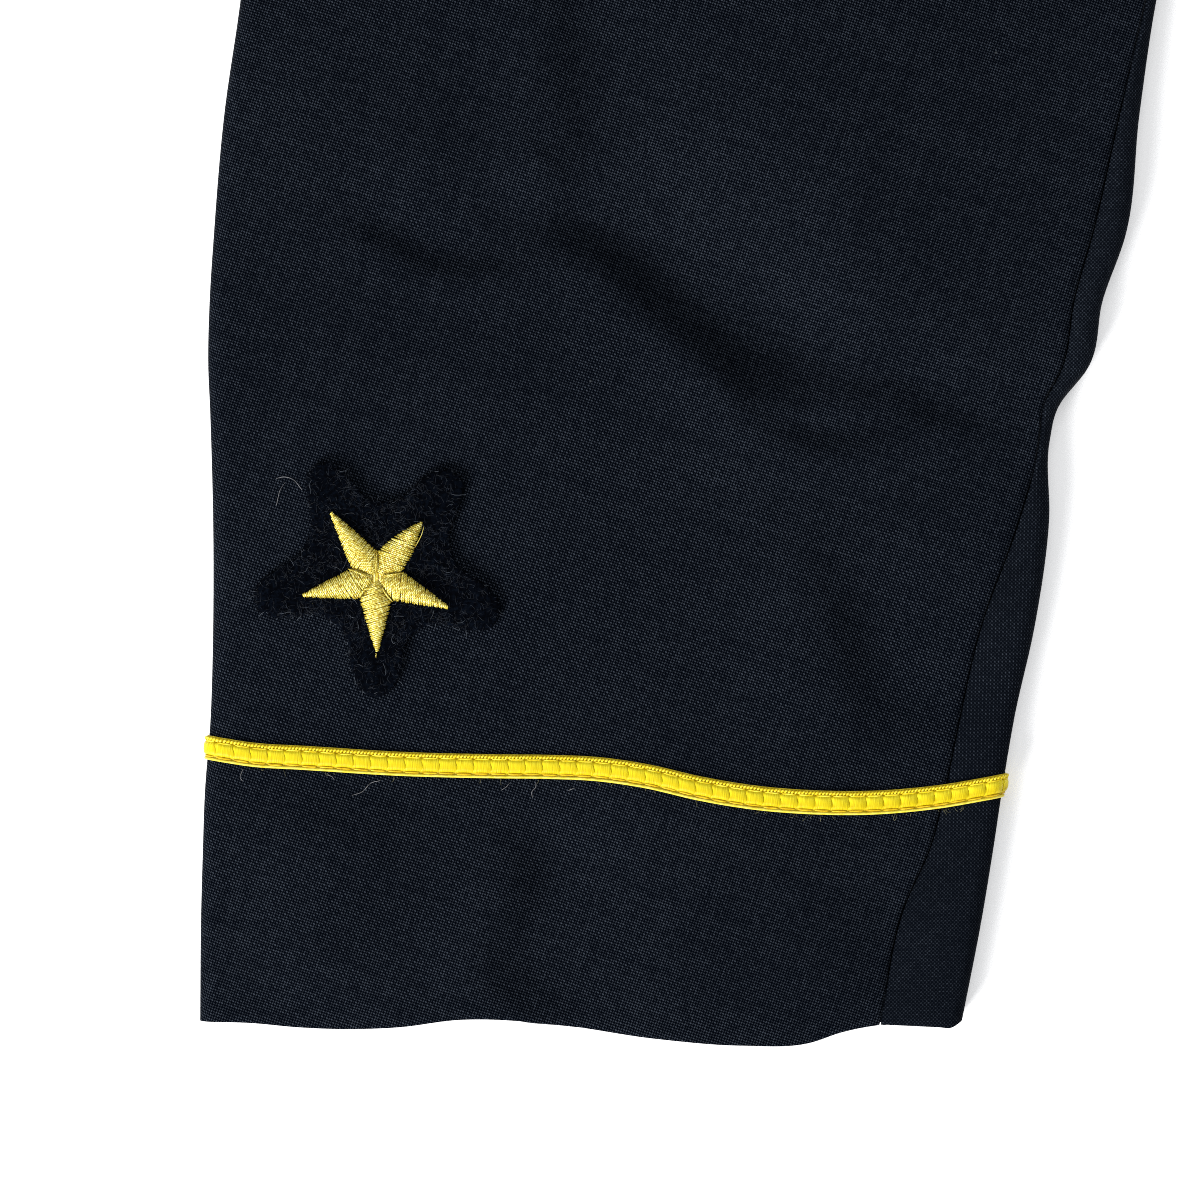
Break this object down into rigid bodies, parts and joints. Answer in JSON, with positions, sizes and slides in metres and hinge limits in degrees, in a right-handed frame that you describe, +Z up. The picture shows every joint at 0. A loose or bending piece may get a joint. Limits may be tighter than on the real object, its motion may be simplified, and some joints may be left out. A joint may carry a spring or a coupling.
{
  "type": "mess dress jacket",
  "caption": "Short black mess dress jacket laid flat, with yellow cuff braid, an embroidered gold star on each sleeve, rolled peaked lapels and plain gilt buttons.",
  "frame": {"origin": "middle of the jacket's box, on the surface it lies on", "axes": "+Z up off the surface, +Y towards the collar, +X towards the wearer's left sleeve"},
  "size_m": [0.9818, 0.678, 0.0229],
  "materials": {
    "worsted": "matte plain weave",
    "lining": "satin",
    "felt": "matte felt",
    "braid": "satin yarn",
    "gold_thread": "metallic thread",
    "gilt": "polished"
  },
  "bodies": {
    "root": {"back": "worsted", "back_lining": "lining", "front_left": "worsted", "front_right": "worsted", "lapel_left": "worsted", "lapel_right": "worsted", "collar": "worsted", "topsleeve_left": "worsted", "topsleeve_right": "worsted", "undersleeve_left": "worsted", "undersleeve_right": "worsted", "braid_left": "braid", "braid_right": "braid", "star_felt_left": "felt", "star_felt_right": "felt", "star_gold_left": "gold_thread", "star_gold_right": "gold_thread", "button_left_1": "gilt", "button_left_2": "gilt", "button_left_3": "gilt", "button_right_1": "gilt", "button_right_2": "gilt", "button_right_3": "gilt"}
  },
  "joints": []
}
